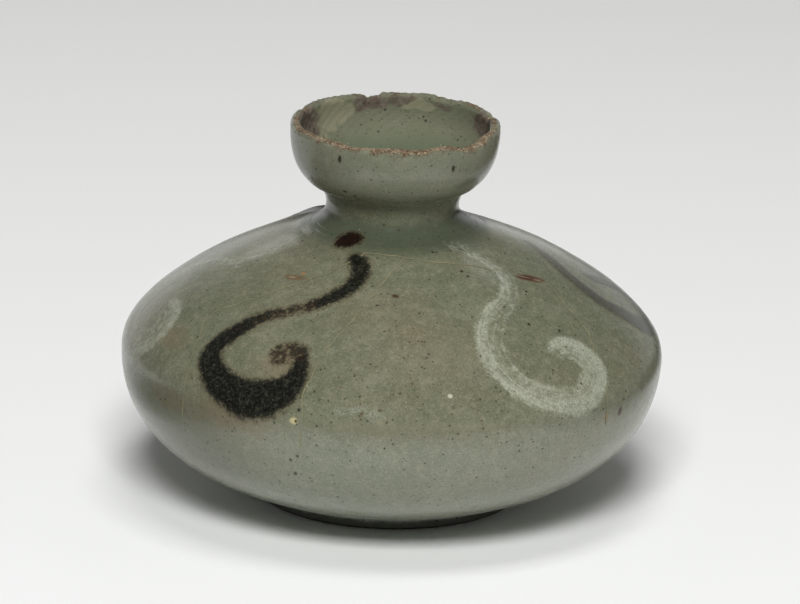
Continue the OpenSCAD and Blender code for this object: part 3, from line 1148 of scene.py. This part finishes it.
def worn_bare(pot, colour):
    front = soft_step(pot.depth, 8.0, -14.0)
    reach = summed(pot.lip_near, (front, 0.4), (centred(pot.cloud), 0.8), (centred(pot.mottle), 0.7))
    bare = soft_step(reach, 0.98, 1.06)
    brown_edge = times(soft_step(reach, 0.8, 0.98), soft_step(pot.dust, 0.4, 0.56))
    purple = patched(pot, bare_patches)
    foot = soft_step(pot.height, 0.55, 0.2)
    clay, dull = clay_colours(pot)
    colour = mixed(patched(pot, thin_patches), colour, tint(150, 146, 120))
    colour = mixed(purple, colour, dull)
    colour = laid(colour, brown_edge, 0.55, tint(84, 64, 48))
    colour = mixed(bare, colour, clay)
    colour = mixed(foot, colour, clay)
    # Painted shade: darker low on the foot, where the foot stands in the pot's shadow
    painted_foot_shade = soft_step(pot.wavy_height, 2.6, 1.8)
    colour = laid(colour, painted_foot_shade, 0.7, tint(54, 55, 45))
    return colour, larger(larger(bare, purple), foot)


print(len(bare_patches) + len(thin_patches), "patches inside the cup")


# %% Celadon group
def celadon_group():
    tree = bpy.data.node_groups.new("celadon_over_clay", "ShaderNodeTree")
    pot = shared_grains(tree)
    colour = stained(pot, banded(pot, ground_colour(pot)))
    colour, iron = speckled(pot, colour)
    colour, worn_away = worn_bare(pot, marked(pot, colour))
    gloss = summed(0.14, (pot.cloud, 0.16))
    roughness = place("Mix", {0: worn_away, 2: gloss, 3: 0.75}).outputs[0]
    grit = times(pot.dust, worn_away)
    bumps = summed(0.0, (pot.mottle, 0.5), (pot.dust, 0.12), (iron, -0.25), (grit, 1.6))
    ends = {"Color": colour, "Roughness": roughness, "Height": bumps}
    for name in ends:
        kind = "NodeSocketColor" if name == "Color" else "NodeSocketFloat"
        tree.interface.new_socket(name, in_out="OUTPUT", socket_type=kind)
    out = tree.nodes.new("NodeGroupOutput")
    for name, socket in ends.items():
        tree.links.new(socket, out.inputs[name])
    return tree


celadon = celadon_group()
print("celadon group:", len(celadon.nodes), "nodes")

# %% Material helpers and the plain glaze
glaze_bump = 0.00006


def new_material(name):
    material = bpy.data.materials.new(name)
    material.use_nodes = True
    tree = material.node_tree
    shader = tree.nodes["Principled BSDF"]
    shader.inputs["IOR"].default_value = 1.5
    return material, tree, shader


def glaze_under(tree):
    made = tree.nodes.new("ShaderNodeGroup")
    made.node_tree = celadon
    return made.outputs["Color"], made.outputs["Roughness"], made.outputs["Height"]


def connect(shader, colour, roughness, height, strength=0.35):
    bump = place("Bump", {"Strength": strength, "Distance": glaze_bump, "Height": height})
    ends = {"Base Color": colour, "Roughness": roughness, "Normal": bump.outputs[0]}
    for name, socket in ends.items():
        shader.id_data.links.new(socket, shader.inputs[name])


def glaze_material():
    material, tree, shader = new_material("celadon_glaze")
    connect(shader, *glaze_under(tree))
    return material


glaze_finish = glaze_material()
print("made", glaze_finish.name)


# %% Seams, where slip under the glaze is a touch paler
def seam_material():
    material, tree, shader = new_material("glazed_slip_seam")
    under, roughness, height = glaze_under(tree)
    patch = grain(millimetres(tree), 3.0, 3.0)
    colour = laid(under, soft_step(patch, 0.55, 0.75), 0.12, tint(140, 134, 112))
    connect(shader, colour, roughness, height)
    return material


seam_finish = seam_material()
print("made", seam_finish.name)

# %% [markdown]
# ## Black and white slip
# Both slips lie under the glaze, so both start from the celadon group and lay colour over it. The
# black one is an iron slip: grainy, with pale and green grains in it, brown where the brush ran
# dry. The white one is thin and streaky, with bristle lines along the stroke. Where the sheet runs
# out past the slip, the mask is zero and only the glaze shows, so the sheet's edge can't be seen.

# %% Black slip
def black_material():
    material, tree, shader = new_material("black_iron_slip")
    under, roughness, height = glaze_under(tree)
    where = millimetres(tree)
    depth = point_value(tree, "depth")
    coarse = centred(grain(where, 0.9, 3.0, 0.6))
    fine = centred(grain(where, 0.46, 3.0, 0.65))
    ragged = summed(point_value(tree, "inset"), (coarse, 1.6), (fine, 1.8))
    cover = soft_step(ragged, -0.42, 0.6)
    thin = summed(point_value(tree, "load"), (coarse, 1.3), (fine, 0.7))
    black = mixed(soft_step(thin, 0.25, 0.75), tint(62, 49, 36), tint(16, 16, 13))
    black = laid(black, soft_step(fine, -0.08, 0.24), 0.75, tint(56, 58, 48))
    black = laid(black, soft_step(coarse, 0.02, 0.2), 0.35, tint(66, 66, 54))
    rust = mixed(soft_step(fine, -0.1, 0.2), tint(24, 15, 12), tint(40, 24, 18))
    black = mixed(point_value(tree, "rusty"), black, rust)
    black = laid(black, specks(where, 0.9, 0.5, 0.08, 0.2), 0.45, tint(104, 106, 88))
    black = mixed(calc("SUBTRACT", 1.0, depth), black, tint(64, 67, 68))
    fringe = times(soft_step(ragged, -1.1, 0.1), depth)
    ground = laid(under, fringe, 0.4, tint(88, 74, 54))
    strength = times(times(cover, soft_step(thin, 0.05, 0.5)), depth)
    colour = mixed(strength, ground, black)
    connect(shader, colour, roughness, summed(height, (fine, 0.5)))
    return material


black_finish = black_material()
print("made", black_finish.name)


# %% White slip
def white_material():
    material, tree, shader = new_material("white_streaky_slip")
    under, roughness, height = glaze_under(tree)
    where = millimetres(tree)
    side = point_value(tree, "side")
    along = point_value(tree, "along")
    brush = place("CombineXYZ", {0: times(along, 0.09), 1: times(side, 2.3)}).outputs[0]
    bristles = centred(grain(brush, 1.0, 3.0, 0.6))
    cloud = centred(grain(where, 1.1, 4.0, 0.65))
    fine = centred(grain(where, 0.35, 2.0))
    edge = summed(point_value(tree, "inset"), (cloud, 1.2), (fine, 0.8))
    cover = soft_step(edge, -0.4, 0.6)
    outer = soft_step(side, 0.8, -1.6)
    amount = summed(point_value(tree, "load"), (bristles, 1.7), (cloud, 2.0), (outer, 0.4))
    amount = soft_step(amount, 0.15, 1.35)
    white = mixed(soft_step(fine, -0.2, 0.26), tint(140, 144, 126), tint(174, 176, 158))
    colour = laid(under, times(cover, amount), 0.9, white)
    iron = larger(specks(where, 0.9, 0.6, 0.06, 0.15), specks(where, 1.7, 0.7, 0.14, 0.34))
    colour = laid(colour, iron, 0.85, tint(52, 44, 32))
    connect(shader, colour, roughness, height)
    return material


white_finish = white_material()
print("made", white_finish.name)


# %% Yellowed glue
def glue_material():
    material, tree, shader = new_material("yellowed_glue")
    under = glaze_under(tree)[0]
    where = millimetres(tree)
    cloud = grain(where, 4.0, 3.0, 0.6)
    fine = grain(where, 0.3, 2.0)
    colour = mixed(soft_step(fine, 0.35, 0.65), tint(138, 132, 102), tint(118, 114, 88))
    colour = laid(colour, soft_step(cloud, 0.38, 0.62), 0.75, under)
    connect(shader, colour, summed(0.4, (fine, 0.3)), fine, 0.5)
    return material


glue_finish = glue_material()
print("made", glue_finish.name)

# %% [markdown]
# ## Riding on the imported model
# Nothing moves on a fired pot, so every piece rides on the one body. Each piece takes its finish from the
# slot of the record given beside it, and the solid it stands for is hidden.

# %% Place every piece
finishes = {
    "celadon_glaze": glaze_finish, "luting_slip": seam_finish, "repair_glue": glue_finish,
    "black_slip": black_finish, "white_slip": white_finish,
}
pieces = [
    (bowl, "lower_bowl", "celadon_glaze"),
    (belly_seam, "belly_luting", "luting_slip"),
    (shoulder, "shoulder_dome", "celadon_glaze"),
    (left_sherd, "left_sherd", "celadon_glaze"),
    (right_sherd, "right_sherd", "celadon_glaze"),
    (glue, "repair_glue", "repair_glue"),
    (neck_seam, "neck_luting", "luting_slip"),
    (neck, "neck_collar", "celadon_glaze"),
    (cup_seam, "cup_luting", "luting_slip"),
    (cup, "cup_mouth", "celadon_glaze"),
    (black_front, "black_scroll_front", "black_slip"),
    (black_right, "black_scroll_right", "black_slip"),
    (black_back, "black_scroll_back", "black_slip"),
    (white_front, "white_scroll_front", "white_slip"),
    (white_back, "white_scroll_back", "white_slip"),
    (white_left, "white_scroll_left", "white_slip"),
]
for piece, node, slot in pieces:
    piece.data.materials.clear()
    piece.data.materials.append(finishes[slot])
    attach(piece, "root")
    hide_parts(node)
print(len(pieces), "pieces ride on the packed model")

# %% [markdown]
# ## Floor and light
# The bottle stands on pale paper under soft studio light: a large lamp in front, one above and two
# weak ones behind. A glossy glaze mirrors what is round it, so the room counts as much as the
# lamps. Low behind the pot is a pale backdrop, with a dark gap to the left of the neck and a
# brighter strip to the right. In the glaze's mirror the paper ends a little way round the pot.

# %% Paper floor
floor_half = 0.6
near_paper = tint(243, 244, 243)
far_paper = tint(249, 249, 247)
off_paper = tint(60, 60, 56)
# Where the paper ends in the glaze's mirror, and half the width of that soft end
paper_front = (-0.095, 0.004)
paper_left = (-0.064, 0.012)
paper_right = (0.08, 0.015)
paper_back = (0.26, 0.05)


def past(value, end, direction):
    edge, soft = end
    return soft_step(value, edge - direction * soft, edge + direction * soft)


def paper_material():
    material, tree, shader = new_material("pale_paper")
    axis = place("SeparateXYZ", {0: place("TexCoord", {}, tree).outputs["Object"]})
    sideways, depth = axis.outputs[:2]
    colour = mixed(soft_step(depth, -0.08, 0.25), near_paper, far_paper)
    past_left = times(past(sideways, paper_left, -1), soft_step(depth, 0.06, 0.0))
    past_back = times(past(depth, paper_back, 1), soft_step(sideways, -0.08, -0.055))
    past_end = larger(past(depth, paper_front, -1), past_back)
    past_end = larger(past_end, past(sideways, paper_right, 1))
    rays = place("LightPath", {}, tree)
    indirect = calc("SUBTRACT", 1.0, rays.outputs["Is Camera Ray"])
    mirrored = times(rays.outputs["Is Glossy Ray"], past_end)
    dark = larger(mirrored, times(indirect, past_left))
    tree.links.new(mixed(dark, colour, off_paper), shader.inputs["Base Color"])
    shader.inputs["Roughness"].default_value = 0.9
    shader.inputs["Specular IOR Level"].default_value = 0.1
    return material


def make_floor():
    corners = [(-1, -1), (1, -1), (1, 1), (-1, 1)]
    mesh = bpy.data.meshes.new("paper_floor")
    mesh.from_pydata([(x * floor_half, y * floor_half, 0.0) for x, y in corners], [], [(0, 1, 2, 3)])
    floor = bpy.data.objects.new("paper_floor", mesh)
    bpy.context.scene.collection.objects.link(floor)
    mesh.materials.append(paper_material())


make_floor()
print("paper floor is", 2 * floor_half, "m wide")


# %% Room light
def make_room():
    world = bpy.data.worlds.new("soft_room")
    bpy.context.scene.world = world
    world.use_nodes = True
    tree = world.node_tree
    shader = tree.nodes["Background"]
    axis = place("SeparateXYZ", {0: place("TexCoord", {}, tree).outputs["Generated"]})
    across, back, up = axis.outputs
    # What the glaze mirrors: a backdrop low behind the pot, and a faint glow high on the left
    behind = soft_step(back, 0.55, 0.85)
    low = soft_step(up, 0.34, 0.1)
    gap = between(across, -0.12, 0.0, 0.03)
    strip = between(across, 0.09, 0.19, 0.05)
    backdrop = mixed(soft_step(across, -0.1, 0.1), grey(0.8), grey(0.5))
    backdrop = mixed(gap, backdrop, grey(0.06))
    backdrop = mixed(strip, backdrop, grey(1.0))
    glow = times(between(across, -0.5, -0.17, 0.1), between(up, 0.16, 0.5, 0.1))
    high = mixed(times(glow, behind), grey(0.07), grey(0.3))
    mirrored = mixed(times(behind, low), high, backdrop)
    # What lights the clay: a little from the sides and more from low behind
    from_sides = soft_step(calc("ABSOLUTE", across), 0.1, 0.9)
    low_behind = times(soft_step(back, 0.2, 0.6), soft_step(up, 0.5, 0.25))
    fill = mixed(from_sides, grey(0.02), grey(0.13))
    fill = mixed(low_behind, fill, grey(0.8))
    rays = place("LightPath", {}, tree)
    room = mixed(rays.outputs["Is Glossy Ray"], fill, mirrored)
    colour = mixed(rays.outputs["Is Camera Ray"], room, tint(222, 223, 222))
    tree.links.new(colour, shader.inputs["Color"])
    shader.inputs["Strength"].default_value = 1.0


make_room()
print("room light:", bpy.context.scene.world.name)


# %% Lamps
def soft_box(name, place_at, aim_height, size, radiance, mirrored):
    data = bpy.data.lights.new(name, "AREA")
    data.shape = "RECTANGLE"
    data.size, data.size_y = size
    data.energy = radiance * math.pi * size[0] * size[1]
    lamp = bpy.data.objects.new(name, data)
    bpy.context.scene.collection.objects.link(lamp)
    lamp.location = place_at
    lamp.visible_glossy = mirrored
    toward = Vector((0.0, 0.0, aim_height)) - Vector(place_at)
    lamp.rotation_euler = toward.to_track_quat("-Z", "Y").to_euler()


# Name, place, height that it aims at, size, radiance, and whether the glaze mirrors it
lamps = [
    ("front_light", (-0.02, -0.82, 0.836), 0.03, (0.42, 0.34), 25.7, False),
    ("top_light", (0.05, -0.08, 1.05), 0.03, (0.42, 0.28), 8.5, False),
    ("left_behind", (-0.28, 1.08, 0.49), 0.04, (0.28, 0.14), 1.3, True),
    ("right_behind", (0.26, 0.87, 0.82), 0.04, (0.3, 0.14), 1.4, True),
]
for lamp in lamps:
    soft_box(*lamp)
bpy.context.scene.view_settings.view_transform = "Standard"
print(len(lamps), "lamps")
